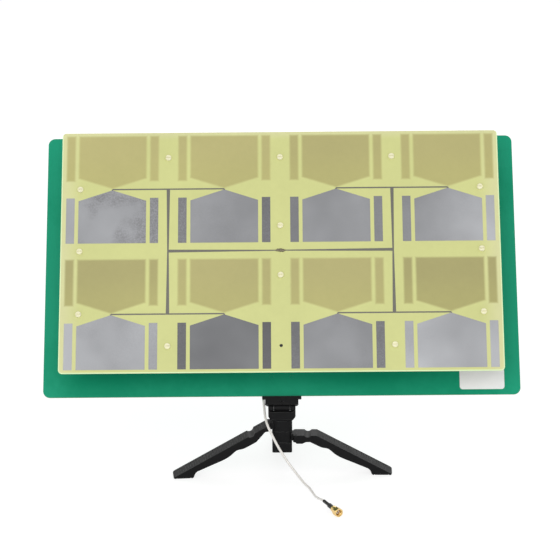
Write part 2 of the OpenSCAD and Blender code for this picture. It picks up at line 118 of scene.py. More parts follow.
# Middle line of the lead, in millimetres from the foot of the tripod's post: behind the
# panel down to the tilt hinge, then in front of it down to the table and to the plug.
UPPER_ROUTE = [(0, 70.6, 197.7), (0, 77.4, 193.6), (-1.5, 82.6, 186), (-4, 84, 175),
               (-8, 79, 160), (-12, 69, 144), (-15.5, 56, 128), (-18.5, 40, 110),
               (-19.6, 24, 93.5), (-19.2, 11, 81.5), (-17.9, 0.4, 68.8)]
LOWER_ROUTE = [(-17.7, -0.4, 67.4), (-16.8, -8.4, 61.4), (-14.4, -16, 55), (-10.4, -20, 47),
               (-5.8, -22.2, 38), (-0.4, -24.8, 29), (5.2, -27.8, 20.8), (11.2, -31.4, 13.4),
               (16.8, -36.6, 7.5), (22, -43.6, 3.4), (27, -53, 1.7), (29.9, -63.5, 1.3),
               (32.4, -73.5, 1.3), (35.2, -82.6, 2.4), (38.3, -90.9, 4.2), (40.7, -96.6, 4.8)]
# Between these two points the lead passes the tilt hinge.
SLEEVE_LONG = 22
PLUG_TURN = math.radians(-67)
PLUG_WAY = Vector((math.cos(PLUG_TURN), math.sin(PLUG_TURN), 0))


def smooth_line(points, steps):
    """Catmull-Rom line through the points."""
    line = []
    for i in range(len(points) - 1):
        a = points[max(i - 1, 0)]
        b, c = points[i], points[i + 1]
        d = points[min(i + 2, len(points) - 1)]
        for k in range(steps):
            t = k / steps
            line.append(0.5 * (2 * b + (c - a) * t + (2 * a - 5 * b + 4 * c - d) * t * t
                               + (3 * b - a - 3 * c + d) * t * t * t))
    return line + [points[-1]]


def lead_line():
    """The whole route as a smooth line, with a straight stretch inside the sleeve."""
    spots = [Vector((0, POST_Y, 0)) + Vector(p) * MM for p in UPPER_ROUTE + LOWER_ROUTE]
    line = smooth_line(spots, LINE_STEPS)
    end = line[-1]
    return line + [end + PLUG_WAY * d * MM for d in (4, 9, 14, SLEEVE_LONG - 0.5)]


def swept_tube(name, line, radius, sides):
    """Closed round tube along a line, with u round it and v in centimetres along it."""
    mesh = bmesh.new()
    uv = mesh.loops.layers.uv.new("UVMap")
    rings, run, runs = [], 0, []
    side = None
    for i, p in enumerate(line):
        way = (line[min(i + 1, len(line) - 1)] - line[max(i - 1, 0)]).normalized()
        if side is None:
            side = way.cross(Vector((1, 0, 0))).normalized()
        side = (side - way * side.dot(way)).normalized()
        other = way.cross(side)
        rings.append([mesh.verts.new(p + radius * (side * math.cos(a) + other * math.sin(a)))
                      for a in [2 * math.pi * k / sides for k in range(sides)]])
        run += (p - line[max(i - 1, 0)]).length
        runs.append(run * 100)
    for i in range(len(rings) - 1):
        for k in range(sides):
            n = (k + 1) % sides
            face = mesh.faces.new((rings[i][k], rings[i][n], rings[i + 1][n], rings[i + 1][k]))
            corners = ((k, i), (k + 1, i), (k + 1, i + 1), (k, i + 1))
            for loop, (u, v) in zip(face.loops, corners):
                loop[uv].uv = (u / sides, runs[v])
            face.smooth = True
    mesh.faces.new(rings[0][::-1])
    mesh.faces.new(rings[-1])
    bmesh.ops.recalc_face_normals(mesh, faces=mesh.faces)
    data = bpy.data.meshes.new(name)
    mesh.to_mesh(data)
    mesh.free()
    piece = bpy.data.objects.new(name, data)
    bpy.context.scene.collection.objects.link(piece)
    return piece


def add_lead():
    """The coax lead in one piece, from the grommet to the end of the plug's sleeve."""
    line = lead_line()
    lead = swept_tube("coax_lead", line, LEAD_WIDE / 2, LEAD_SIDES)
    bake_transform(lead)
    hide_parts("coax_upper", "coax_lower")
    return lead


lead = add_lead()

# ---------- turned and soldered pieces ----------


def turned(name, profile, sides=48):
    """A turned piece along Z; profile is [(radius, height), ...] from its lower face up, in mm."""
    bpy.ops.object.select_all(action="DESELECT")
    radius, height = profile[0]
    bpy.ops.mesh.primitive_circle_add(vertices=sides, radius=radius * MM, fill_type="NGON",
                                      location=(0, 0, height * MM))
    piece = bpy.context.object
    piece.name = name
    bpy.ops.object.transform_apply(location=True, rotation=True, scale=True)
    bpy.ops.object.mode_set(mode="EDIT")
    bpy.ops.mesh.select_all(action="SELECT")
    for (r0, z0), (r1, z1) in zip(profile, profile[1:]):
        bpy.ops.mesh.extrude_region_move(TRANSFORM_OT_translate={"value": (0, 0, (z1 - z0) * MM)})
        bpy.ops.transform.resize(value=(r1 / r0, r1 / r0, 1))
    bpy.ops.mesh.select_all(action="SELECT")
    bpy.ops.mesh.normals_make_consistent(inside=False)
    bpy.ops.object.mode_set(mode="OBJECT")
    return piece


def thread(radius, depth, pitch, low, high):
    """Profile of a thread between two heights, its crests at the radius."""
    root = radius - depth
    turns = int((high - low) / pitch)
    steps = []
    for i in range(turns):
        foot = low + i * pitch
        steps += [(radius, foot + 0.1 * pitch), (root, foot + 0.5 * pitch),
                  (root, foot + 0.6 * pitch)]
    return steps + [(radius, low + turns * pitch), (root, high)]


def worked(piece, name, kind, **settings):
    """Adds a modifier with its settings and applies it."""
    modifier = piece.modifiers.new(name, kind)
    for label, value in settings.items():
        setattr(modifier, label, value)
    bpy.context.view_layer.objects.active = piece
    bpy.ops.object.modifier_apply(modifier=modifier.name)


def cut_slot(piece, wide, long, deep):
    """Cuts a straight slot across the foot of a piece with a block that is then thrown away."""
    bpy.ops.object.select_all(action="DESELECT")
    bpy.ops.mesh.primitive_cube_add(size=1, location=(0, 0, 0))
    block = bpy.context.object
    block.scale = (wide * MM, long * MM, 2 * deep * MM)
    bpy.ops.object.transform_apply(location=True, rotation=True, scale=True)
    worked(piece, "slot", "BOOLEAN", operation="DIFFERENCE", object=block)
    bpy.data.objects.remove(block, do_unlink=True)


def set_down(piece, spot, way):
    """Puts a piece made along Z at its place along a direction, and fixes that in its mesh."""
    bpy.ops.object.select_all(action="DESELECT")
    piece.select_set(True)
    bpy.context.view_layer.objects.active = piece
    piece.location = spot
    piece.rotation_euler = way.to_track_quat("Z", "Y").to_euler()
    bpy.ops.object.transform_apply(location=True, rotation=True, scale=True)
    bpy.ops.object.shade_smooth_by_angle(angle=math.radians(32))


# Sizes of the turned pieces, in millimetres; depths and heights are the panel's own.
STUD_SIDES = 32
STUD_PITCH = 0.5
BRACKET_STUD_RADIUS = 1.95
BRACKET_STUD_UP = -118
BRACKET_STUD_ACROSS = {"left": -10, "right": 10}
BRACKET_NUT_END = 60.2
BRACKET_STUD_LONG = BRACKET_NUT_END - REFLECTOR_DEPTH
SPACER_STUD_RADIUS = 1.5
SPACER_STUD_UP = -98
SPACER_STUD_LONG = 59.2
BOLT_RADIUS = 3.17
BOLT_HEAD_RADIUS = 5.0
BOLT_HEAD_THICK = 1.2
BOLT_PITCH = 1.27
BOLT_LONG = 12.5
BOLT_DEPTH = 74
PLATFORM_UNDER = -141
SOLDER_SKIN = 0.12
SOLDER_LUMP = 1.1
SOLDER_ROUGH = 0.35
SOLDER_FOOT = 0.05
NUT_CREST = 2.84
NUT_ROOT = 3.06
NUT_FLAT = 0.1
NUT_FLANK = 0.25
NUT_MOUTH = 13
NUT_WALL = 0.05


def add_flush_studs():
    """Studs that hold the bracket, pressed in flush with the reflector's front face."""
    radius, plain = BRACKET_STUD_RADIUS, 5.2
    studs = []
    for side, x in BRACKET_STUD_ACROSS.items():
        profile = [(radius + 0.15, 0.02), (radius + 0.15, 1.4), (radius, 1.6), (radius, plain)]
        profile += thread(radius, 0.28, STUD_PITCH, plain, BRACKET_STUD_LONG)
        profile.append((1.4, BRACKET_STUD_LONG + 0.2))
        stud = turned("bracket_fixing_" + side, profile, STUD_SIDES)
        set_down(stud, on_panel(x, REFLECTOR_DEPTH, BRACKET_STUD_UP), DEPTH_WAY)
        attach(stud, "panel")
        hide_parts("bracket_screws")
        studs.append(stud)
    return studs


def add_threaded_stud():
    """Long stud through the lowest spacer, threaded where its nut sits."""
    radius, plain = SPACER_STUD_RADIUS, 52
    profile = [(radius - 0.3, 0), (radius, 0.25), (radius, plain)]
    profile += thread(radius, 0.25, STUD_PITCH, plain, SPACER_STUD_LONG - 0.3)
    profile.append((radius - 0.4, SPACER_STUD_LONG))
    stud = turned("spacer_stud", profile, STUD_SIDES)
    set_down(stud, on_panel(0, 0, SPACER_STUD_UP), DEPTH_WAY)
    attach(stud, "panel")
    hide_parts("bracket_stud")
    return stud


def add_camera_bolt():
    """Quarter-inch bolt with a flat slotted head under the platform."""
    head, plain = BOLT_HEAD_RADIUS, 4.5
    profile = [(head - 0.3, 0), (head, 0.3), (head, BOLT_HEAD_THICK),
               (BOLT_RADIUS, BOLT_HEAD_THICK), (BOLT_RADIUS, plain)]
    profile += thread(BOLT_RADIUS, 0.62, BOLT_PITCH, plain, BOLT_LONG - 0.5)
    profile.append((2.2, BOLT_LONG))
    bolt = turned("camera_bolt", profile)
    cut_slot(bolt, 1.3, 12, 0.8)
    set_down(bolt, on_panel(0, BOLT_DEPTH, PLATFORM_UNDER), UP_WAY)
    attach(bolt, "panel")
    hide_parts("camera_stud")
    return bolt


def solder_drops():
    """Flat drops side by side, joined into one piece."""
    # across, up, radius and height of each drop
    drops = [(0.0, 0.1, 2.3, 1.25), (-2.5, 0.15, 1.9, 0.85), (2.3, -0.2, 2.0, 0.95),
             (-4.3, -0.1, 1.1, 0.5), (4.4, 0.1, 1.0, 0.5), (0.9, 0.9, 1.1, 0.9)]
    made = []
    for x, up, radius, proud in drops:
        bpy.ops.object.select_all(action="DESELECT")
        bpy.ops.mesh.primitive_uv_sphere_add(segments=32, ring_count=20, radius=MM,
                                             location=(x * MM, up * MM, 0))
        bpy.context.object.scale = (radius, radius * 0.8, proud)
        bpy.ops.object.transform_apply(location=True, rotation=True, scale=True)
        made.append(bpy.context.object)
    for drop in made:
        drop.select_set(True)
    bpy.ops.object.join()
    return bpy.context.object


def add_feed_joint():
    """Solder knot: drops run into one lump."""
    joint = solder_drops()
    joint.name = "feed_joint"
    lumps = bpy.data.textures.new("solder_lumps", "CLOUDS")
    lumps.noise_scale = SOLDER_LUMP * MM
    worked(joint, "skin", "REMESH", mode="VOXEL", voxel_size=SOLDER_SKIN * MM)
    worked(joint, "rough", "DISPLACE", texture=lumps, strength=SOLDER_ROUGH * MM, mid_level=0.5)
    worked(joint, "round_off", "SMOOTH", iterations=3)
    bpy.data.textures.remove(lumps)
    bpy.ops.object.mode_set(mode="EDIT")
    bpy.ops.mesh.select_all(action="SELECT")
    bpy.ops.mesh.bisect(plane_co=(0, 0, -SOLDER_FOOT * MM), plane_no=(0, 0, -1),
                        clear_outer=True, use_fill=True)
    bpy.ops.object.mode_set(mode="OBJECT")
    set_down(joint, on_panel(0, -0.1, 0), -DEPTH_WAY)
    bpy.ops.object.shade_smooth()
    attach(joint, "panel")
    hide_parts("feed_solder")
    return joint


def add_nut_thread():
    """Thread inside the coupling nut's mouth."""
    low, high = NUT_MOUTH - 5.4, NUT_MOUTH - 0.3
    bpy.ops.object.select_all(action="DESELECT")
    bpy.ops.mesh.primitive_circle_add(vertices=40, radius=NUT_ROOT * MM, fill_type="NOTHING",
                                      location=(0, 0, low * MM))
    ring = bpy.context.object
    ring.name = "nut_thread"
    bpy.ops.object.transform_apply(location=True, rotation=True, scale=True)
    bpy.ops.object.mode_set(mode="EDIT")
    bpy.ops.mesh.select_all(action="SELECT")
    turn = [(NUT_FLAT, NUT_ROOT), (NUT_FLANK, NUT_CREST), (NUT_FLAT, NUT_CREST),
            (NUT_FLANK, NUT_ROOT)]
    pitch = sum(rise for rise, _ in turn)
    radius = NUT_ROOT
    for _ in range(int((high - low) / pitch)):
        for rise, reach in turn:
            bpy.ops.mesh.extrude_region_move(TRANSFORM_OT_translate={"value": (0, 0, rise * MM)})
            bpy.ops.transform.resize(value=(reach / radius, reach / radius, 1))
            radius = reach
    bpy.ops.object.mode_set(mode="OBJECT")
    worked(ring, "wall", "SOLIDIFY", thickness=NUT_WALL * MM, offset=0)
    sleeve_end = lead_line()[-1] + PLUG_WAY * 0.5 * MM
    set_down(ring, sleeve_end, PLUG_WAY)
    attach(ring, "nut")
    return ring


bracket_fixings = add_flush_studs()
spacer_stud = add_threaded_stud()
camera_bolt = add_camera_bolt()
feed_joint = add_feed_joint()
nut_thread = add_nut_thread()

# ---------- node helpers ----------


def put(tree, kind, inputs=None, **settings):
    """Adds a node, sets what is named and joins each input that is given a socket."""
    node = tree.nodes.new(kind)
    for name, value in settings.items():
        setattr(node, name, value)
    for key, value in (inputs or {}).items():
        if isinstance(value, bpy.types.NodeSocket):
            tree.links.new(value, node.inputs[key])
        else:
            node.inputs[key].default_value = value
    return node


def math_node(tree, operation, *values):
    """The result of a Math node."""
    return put(tree, "ShaderNodeMath", dict(enumerate(values)), operation=operation).outputs[0]


def ramp_between(tree, value, low, high, out_low=0.0, out_high=1.0):
    """Smooth step of a value, from out_low at low to out_high at high."""
    return put(tree, "ShaderNodeMapRange", {
        "Value": value, "From Min": low, "From Max": high, "To Min": out_low,
        "To Max": out_high}, interpolation_type="SMOOTHSTEP").outputs["Result"]


def straight_between(tree, value, low, high, out_low, out_high):
    """Straight line of a value, from out_low at low to out_high at high."""
    return put(tree, "ShaderNodeMapRange", {
        "Value": value, "From Min": low, "From Max": high, "To Min": out_low,
        "To Max": out_high}).outputs["Result"]


def mix_colour(tree, factor, first, second, blend="MIX"):
    """Two colours blended by a factor."""
    return put(tree, "ShaderNodeMix", {0: factor, 6: first, 7: second}, data_type="RGBA",
               blend_type=blend).outputs[2]


def noise(tree, spot, scale, detail, rough):
    """Soft noise at a place, about 0 to 1."""
    return put(tree, "ShaderNodeTexNoise", {"Vector": spot, "Scale": scale, "Detail": detail,
                                            "Roughness": rough}).outputs[0]


def times(tree, colour, value):
    """A colour made lighter or darker by a value."""
    grey = put(tree, "ShaderNodeCombineXYZ", {0: value, 1: value, 2: value}).outputs[0]
    return mix_colour(tree, 1.0, colour, grey, "MULTIPLY")


def new_group(name, inputs, outputs):
    """A shader node group with float inputs {name: value} and outputs [(name, type)]."""
    tree = bpy.data.node_groups.new(name, "ShaderNodeTree")
    for label, value in inputs.items():
        socket = tree.interface.new_socket(label, in_out="INPUT", socket_type="NodeSocketFloat")
        socket.default_value = value
    for label, kind in outputs:
        tree.interface.new_socket(label, in_out="OUTPUT", socket_type="NodeSocket" + kind)
    return tree, tree.nodes.new("NodeGroupInput"), tree.nodes.new("NodeGroupOutput")


def use_group(tree, group, **inputs):
    """Places a group with its own values and gives its outputs."""
    values = {label.replace("_", " "): value for label, value in inputs.items()}
    return put(tree, "ShaderNodeGroup", values, node_tree=group).outputs


# ---------- shared effects ----------


def build_panel_place():
    """Millimetres across, into and up the panel, and how far a face looks into it."""
    tree, _, out = new_group("panel_place", {}, [("Across", "Float"), ("Depth", "Float"),
                                                 ("Up", "Float"), ("Facing", "Float")])
    spot = put(tree, "ShaderNodeTexCoord")
    local = put(tree, "ShaderNodeMapping", {
        "Vector": spot.outputs["Object"], "Location": BOARD_SPOT,
        "Rotation": (-LEAN, 0, 0), "Scale": (MM, MM, MM)}, vector_type="TEXTURE")
    parts = put(tree, "ShaderNodeSeparateXYZ", {0: local.outputs[0]})
    facing = put(tree, "ShaderNodeVectorMath", {0: spot.outputs["Normal"], 1: DEPTH_WAY},
                 operation="DOT_PRODUCT")
    for label, socket in zip(("Across", "Depth", "Up"), parts.outputs):
        tree.links.new(socket, out.inputs[label])
    tree.links.new(facing.outputs["Value"], out.inputs["Facing"])
    return tree


COLUMN_PITCH = 112.5
ROW_PITCH = 130


def build_dipole_cell(panel_place):
    """A point's place in its dipole's cell: sideways of the column line, above the row line."""
    tree, _, out = new_group("dipole_cell", {}, [
        ("Side", "Float"), ("Rise", "Float"), ("Column", "Float"), ("Row", "Float")])
    place = use_group(tree, panel_place)
    column = math_node(tree, "DIVIDE", place["Across"], COLUMN_PITCH)
    row = math_node(tree, "DIVIDE", place["Up"], ROW_PITCH)
    side = math_node(tree, "SUBTRACT", math_node(tree, "FRACT", column), 0.5)
    side = math_node(tree, "MULTIPLY", math_node(tree, "ABSOLUTE", side), COLUMN_PITCH)
    rise = math_node(tree, "SUBTRACT", math_node(tree, "FRACT", row), 0.5)
    rise = math_node(tree, "MULTIPLY", rise, ROW_PITCH)
    for label, socket in (("Side", side), ("Rise", rise),
                          ("Column", math_node(tree, "FLOOR", column)),
                          ("Row", math_node(tree, "FLOOR", row))):
        tree.links.new(socket, out.inputs[label])
    return tree


def build_mottle():
    """Cloudy patches with finer ones inside, from 0 to 1."""
    tree, given, out = new_group("mottle", {"Scale": 60.0, "Fine": 400.0, "Fine share": 0.35},
                                 [("Value", "Float")])
    spot = put(tree, "ShaderNodeTexCoord").outputs["Object"]
    broad = noise(tree, spot, given.outputs["Scale"], 3.0, 0.55)
    fine = noise(tree, spot, given.outputs["Fine"], 4.0, 0.6)
    value = put(tree, "ShaderNodeMix", {0: given.outputs["Fine share"], 2: broad, 3: fine})
    tree.links.new(value.outputs[0], out.inputs["Value"])
    return tree


def build_soft_edge():
    """Rounded look of an edge, and a mask that is 1 along it."""
    tree, given, out = new_group("soft_edge", {"Radius": 0.0004},
                                 [("Normal", "Vector"), ("Edge", "Float")])
    rounded = put(tree, "ShaderNodeBevel", {"Radius": given.outputs["Radius"]}, samples=4)
    plain = put(tree, "ShaderNodeNewGeometry")
    same = put(tree, "ShaderNodeVectorMath", {0: rounded.outputs[0], 1: plain.outputs["Normal"]},
               operation="DOT_PRODUCT")
    edge = ramp_between(tree, same.outputs["Value"], 0.99, 0.85)
    tree.links.new(rounded.outputs[0], out.inputs["Normal"])
    tree.links.new(edge, out.inputs["Edge"])
    return tree


def build_fine_grain():
    """Height of a fine moulded or painted grain."""
    tree, given, out = new_group("fine_grain", {"Scale": 2500.0}, [("Height", "Float")])
    spot = put(tree, "ShaderNodeTexCoord").outputs["Object"]
    grain = noise(tree, spot, given.outputs["Scale"], 2.0, 0.5)
    tree.links.new(grain, out.inputs["Height"])
    return tree


def build_glass_cloth(panel_place):
    """Height of the woven glass under a board's resin: two crossing sets of threads."""
    tree, given, out = new_group("glass_cloth", {"Pitch": 0.9}, [("Height", "Float")])
    place = use_group(tree, panel_place)
    waves = []
    for axis in ("Across", "Up"):
        turn = math_node(tree, "DIVIDE", place[axis], given.outputs["Pitch"])
        waves.append(math_node(tree, "SINE", math_node(tree, "MULTIPLY", turn, 2 * math.pi)))
    weave = math_node(tree, "MULTIPLY", *waves)
    tree.links.new(straight_between(tree, weave, -1, 1, 0, 1), out.inputs["Height"])
    return tree


def tone_by_cell(tree, cell, upper, lower):
    """A value for each dipole of the upper and of the lower row, from left to right."""
    column = straight_between(tree, cell["Column"], -2, 2, 0.125, 1.125)
    rows = []
    for tones in (upper, lower):
        steps = put(tree, "ShaderNodeValToRGB", {0: column})
        steps.color_ramp.interpolation = "CONSTANT"
        while len(steps.color_ramp.elements) < len(tones):
            steps.color_ramp.elements.new(0.5)
        for i, tone in enumerate(tones):
            steps.color_ramp.elements[i].position = i / len(tones)
            steps.color_ramp.elements[i].color = (tone, tone, tone, 1)
        rows.append(steps.outputs[0])
    above = math_node(tree, "GREATER_THAN", cell["Row"], -0.5)
    return mix_colour(tree, above, rows[1], rows[0])


def toned(tree, colour, value, low, high, darkest, lightest):
    """The colour made darker where the value is low and lighter where it is high."""
    return times(tree, colour, straight_between(tree, value, low, high, darkest, lightest))


panel_place = build_panel_place()
dipole_cell = build_dipole_cell(panel_place)
mottle = build_mottle()
soft_edge = build_soft_edge()
fine_grain = build_fine_grain()
glass_cloth = build_glass_cloth(panel_place)

# ---------- finishes ----------

finishes = {}


def new_finish(name, **sockets):
    """A material with one Principled shader; plain values go straight on its sockets."""
    finish = bpy.data.materials.new(name)
    finish.use_nodes = True
    finish.node_tree.nodes.clear()
    tree = finish.node_tree
    shader = put(tree, "ShaderNodeBsdfPrincipled",
                 {k.replace("_", " "): v for k, v in sockets.items()})
    out = put(tree, "ShaderNodeOutputMaterial")
    tree.links.new(shader.outputs[0], out.inputs["Surface"])
    finishes[name] = finish
    return tree, shader


def feed(tree, shader, **sockets):
    """Joins what varies over the surface to the shader."""
    for key, value in sockets.items():
        tree.links.new(value, shader.inputs[key.replace("_", " ")])


def bump(tree, height, strength, distance, normal=None):
    """A normal from a height, on top of another normal where one is given."""
    inputs = {"Height": height, "Strength": strength, "Distance": distance}
    if normal is not None:
        inputs["Normal"] = normal
    return put(tree, "ShaderNodeBump", inputs).outputs[0]


# A dipole's patch and side strips: measures from its column line and its row line.
PATCH_HALF = 34
PATCH_REACH = 56.5
SHOULDER = 12
STRIP_MIDDLE = 42.05
STRIP_HALF = 4.25
STRIP_START = 9
STRIP_INNER = 36
RISER_INNER = 48
LINE_HALF = 1
BUS_HALF = 2


def cut_edge(tree, place):
    """1 on the sawn edges and drilled walls of a board, 0 on its two faces."""
    return ramp_between(tree, math_node(tree, "ABSOLUTE", place["Facing"]), 0.7, 0.3)


def hidden_copper(tree, cell, rise):
    """1 where the copper of the other face lies behind the board, 0 elsewhere."""
    apex = math_node(tree, "SUBTRACT", math_node(
        tree, "MULTIPLY_ADD", cell["Side"], (SHOULDER - 1) / PATCH_HALF, 1.0), rise)
    top = math_node(tree, "SUBTRACT", rise, PATCH_REACH)
    patch = math_node(tree, "MAXIMUM", math_node(
        tree, "MAXIMUM", math_node(tree, "SUBTRACT", cell["Side"], PATCH_HALF), top), apex)
    strip = math_node(tree, "SUBTRACT", math_node(tree, "ABSOLUTE", math_node(
        tree, "SUBTRACT", cell["Side"], STRIP_MIDDLE)), STRIP_HALF)
    strip = math_node(tree, "MAXIMUM", math_node(tree, "MAXIMUM", strip, top), math_node(
        tree, "SUBTRACT", STRIP_START, rise))
    return ramp_between(tree, math_node(tree, "MINIMUM", patch, strip), 1.5, -1.5)


def lit_rim(tree, place, outward):
    """Mask of the sides and the lower edge, where light that runs in the board comes out."""
    downward = math_node(tree, "MULTIPLY", place["Up"], -1.0)
    beyond = [math_node(tree, "MAXIMUM", 0.0, math_node(tree, "SUBTRACT", reach, flat))
              for reach, flat in ((outward, BOARD_HALF_WIDE - BOARD_CORNER),
                                  (downward, BOARD_HALF_TALL - BOARD_CORNER))]
    past = put(tree, "ShaderNodeCombineXYZ", {0: beyond[0], 1: beyond[1]}).outputs[0]
    corner = put(tree, "ShaderNodeVectorMath", {0: past}, operation="LENGTH").outputs["Value"]
    return ramp_between(tree, corner, BOARD_CORNER - 1.3, BOARD_CORNER - 0.5, 0.0, 0.85)


def make_board_epoxy():
    """Bare glass-epoxy; the copper of the other face shows through it as a soft tan shape."""
    bare = (0.598, 0.616, 0.255, 1)
    pale = (0.680, 0.668, 0.385, 1)
    covered = (0.470, 0.432, 0.182, 1)
    covered_warm = (0.46, 0.44, 0.155, 1)
    cut = (0.78, 0.78, 0.46, 1)
    lit = (0.76, 0.95, 0.56, 1)
    tree, shader = new_finish("board_epoxy", Roughness=0.42, IOR=1.5, Specular_IOR_Level=0.3)
    cell = use_group(tree, dipole_cell)
    place = use_group(tree, panel_place)
    outward = math_node(tree, "ABSOLUTE", place["Across"])
    # each face shows the copper of the other one: upper halves in front, lower ones behind
    behind = math_node(tree, "GREATER_THAN", place["Depth"], BOARD_HALF_THICK)
    way = straight_between(tree, behind, 0, 1, 1, -1)
    rise = math_node(tree, "MULTIPLY", cell["Rise"], way)
    tan = mix_colour(tree, 1.0, covered, tone_by_cell(
        tree, cell, (1.0, 0.97, 0.90, 0.94), (0.82, 0.90, 0.91, 0.78)), "MULTIPLY")
    # the hidden copper looks a little warmer towards its row line
    warm = ramp_between(tree, rise, 45, 10)
    tan = mix_colour(tree, math_node(tree, "MULTIPLY", warm, 0.35), tan, covered_warm)
    # the board is made paler along the top edge and at the two outer ends
    outer = ramp_between(tree, outward, BOARD_HALF_WIDE - 24, BOARD_HALF_WIDE - 1)
    over_top = ramp_between(tree, place["Up"], BOARD_HALF_TALL - 9, BOARD_HALF_TALL)
    paler_share = math_node(tree, "MULTIPLY", math_node(tree, "MAXIMUM", outer, over_top), 0.6)
    resin = mix_colour(tree, paler_share, bare, pale)
    cloud = use_group(tree, mottle, Scale=14.0, Fine=160.0, Fine_share=0.3)["Value"]
    base = mix_colour(tree, hidden_copper(tree, cell, rise), resin, tan)
    base = toned(tree, base, cloud, 0.3, 0.7, 0.955, 1.045)
    base = mix_colour(tree, cut_edge(tree, place), base, cut)
    base = mix_colour(tree, lit_rim(tree, place, outward), base, lit)
    weave = use_group(tree, glass_cloth, Pitch=0.9)["Height"]
    feed(tree, shader, Base_Color=base, Normal=bump(tree, weave, 0.1, 0.00005))


def tin_tone(tree, cell, place, strip, outward):
    """Grey of the tin: each patch and strip has its own, and the last patches have a slope."""
    grey = tone_by_cell(tree, cell, (0.315, 0.248, 0.262, 0.270), (0.320, 0.154, 0.235, 0.360))
    grey = mix_colour(tree, 1.0, grey, (0.985, 1.0, 1.04, 1), "MULTIPLY")
    # strips next to the middle of the board are made darker than the outer ones
    strip_tone = straight_between(tree, outward, 20, 210, 0.72, 1.12)
    tone = math_node(tree, "ADD", math_node(tree, "MULTIPLY", strip, strip_tone),
                     math_node(tree, "SUBTRACT", 1.0, strip))
    # the last patch of the upper row brightens to the right, the one below it to the left
    last = math_node(tree, "GREATER_THAN", place["Across"], 105.0)
    upper = math_node(tree, "GREATER_THAN", place["Up"], 0.0)
    lower = math_node(tree, "SUBTRACT", 1.0, upper)
    for row, start, end, first, final in ((upper, 140, 200, -0.06, 0.34),
                                          (lower, 130, 190, 0.10, -0.14)):
        slope = ramp_between(tree, place["Across"], start, end, first, final)
        slope = math_node(tree, "MULTIPLY", slope, last)
        tone = math_node(tree, "MULTIPLY_ADD", row, slope, tone)
    return times(tree, grey, tone)


def flux_stain(tree, cell, spot, strip, outward):
    """Mask of dark specks, dense in the stained first patch and on the inner strips."""
    stain = ramp_between(tree, noise(tree, spot, 26.0, 3.0, 0.5), 0.40, 0.62)
    stain = math_node(tree, "MAXIMUM", stain, strip)
    stained = tone_by_cell(tree, cell, (0.62, 0.12, 0.05, 0.10), (0.12, 0.03, 0.20, 0.05))
    streaked = tone_by_cell(tree, cell, (0.65, 0.60, 0.25, 0.15), (0.20, 0.75, 0.60, 0.10))
    # the outermost strips stayed clean
    clean = ramp_between(tree, outward, BOARD_HALF_WIDE - 20, BOARD_HALF_WIDE - 16, 1.0, 0.1)
    streaked = math_node(tree, "MULTIPLY", streaked, clean)
    share = mix_colour(tree, strip, stained, streaked)
    speck = ramp_between(tree, noise(tree, spot, 620.0, 3.0, 0.7), 0.22, 0.70)
    return math_node(tree, "MULTIPLY", math_node(tree, "MULTIPLY", stain, speck), share)


def feed_lines(tree, cell, place):
    """1 on the thin lines of the feed network, 0 on the patches and strips."""
    row_line = math_node(tree, "LESS_THAN", math_node(tree, "ABSOLUTE", cell["Rise"]), LINE_HALF)
    riser = math_node(tree, "GREATER_THAN", cell["Side"], RISER_INNER)
    bus = math_node(tree, "LESS_THAN", math_node(tree, "ABSOLUTE", place["Up"]), BUS_HALF)
    return math_node(tree, "MAXIMUM", math_node(tree, "MAXIMUM", row_line, riser), bus)


def make_tinned_copper():
    """Dull tin over copper: soft clouds, a dark flux stain, and each patch its own tone."""
    tarnished = (0.105, 0.10, 0.105, 1)
    feed_line = (0.150, 0.146, 0.128, 1)
    tree, shader = new_finish("tinned_copper", Metallic=0.7, Specular_IOR_Level=0.2)
    cell = use_group(tree, dipole_cell)
    place = use_group(tree, panel_place)
    spot = put(tree, "ShaderNodeTexCoord").outputs["Object"]
    strip = math_node(tree, "GREATER_THAN", cell["Side"], STRIP_INNER)
    outward = math_node(tree, "ABSOLUTE", place["Across"])
    cloud = use_group(tree, mottle, Scale=110.0, Fine=700.0, Fine_share=0.45)["Value"]
    base = tin_tone(tree, cell, place, strip, outward)
    base = toned(tree, base, noise(tree, spot, 16.0, 2.0, 0.5), 0.32, 0.68, 0.88, 1.12)
    base = toned(tree, base, cloud, 0.3, 0.7, 0.955, 1.045)
    base = mix_colour(tree, flux_stain(tree, cell, spot, strip, outward), base, tarnished)
    base = mix_colour(tree, feed_lines(tree, cell, place), base, feed_line)
    rough = straight_between(tree, cloud, 0.3, 0.7, 0.42, 0.58)
    feed(tree, shader, Base_Color=base, Roughness=rough,
         Normal=bump(tree, cloud, 0.12, 0.0001))


def make_solder_mask():
    """Green lacquer over woven glass, with bare cut edges."""
    green = (0.012, 0.325, 0.185, 1)
    deep = (0.003, 0.268, 0.142, 1)
    cut = (0.30, 0.40, 0.22, 1)
    tree, shader = new_finish("solder_mask", Roughness=0.45, IOR=1.5, Specular_IOR_Level=0.1)
    place = use_group(tree, panel_place)
    cloud = use_group(tree, mottle, Scale=9.0, Fine=120.0, Fine_share=0.25)["Value"]
    # deeper and paler green in clouds, paler towards the outer ends
    outer = ramp_between(tree, math_node(tree, "ABSOLUTE", place["Across"]),
                         REFLECTOR_HALF_WIDE - 35, REFLECTOR_HALF_WIDE - 2)
    share = math_node(tree, "SUBTRACT", ramp_between(tree, cloud, 0.35, 0.65, 0.3, 1.2),
                      math_node(tree, "MULTIPLY", outer, 0.7))
    base = mix_colour(tree, share, green, deep)
    base = mix_colour(tree, cut_edge(tree, place), base, cut)
    weave = use_group(tree, glass_cloth, Pitch=0.9)["Height"]
    grain = use_group(tree, fine_grain, Scale=900.0)["Height"]
    height = math_node(tree, "ADD", math_node(tree, "MULTIPLY", weave, 0.5), grain)
    feed(tree, shader, Base_Color=base, Normal=bump(tree, height, 0.08, 0.0001))


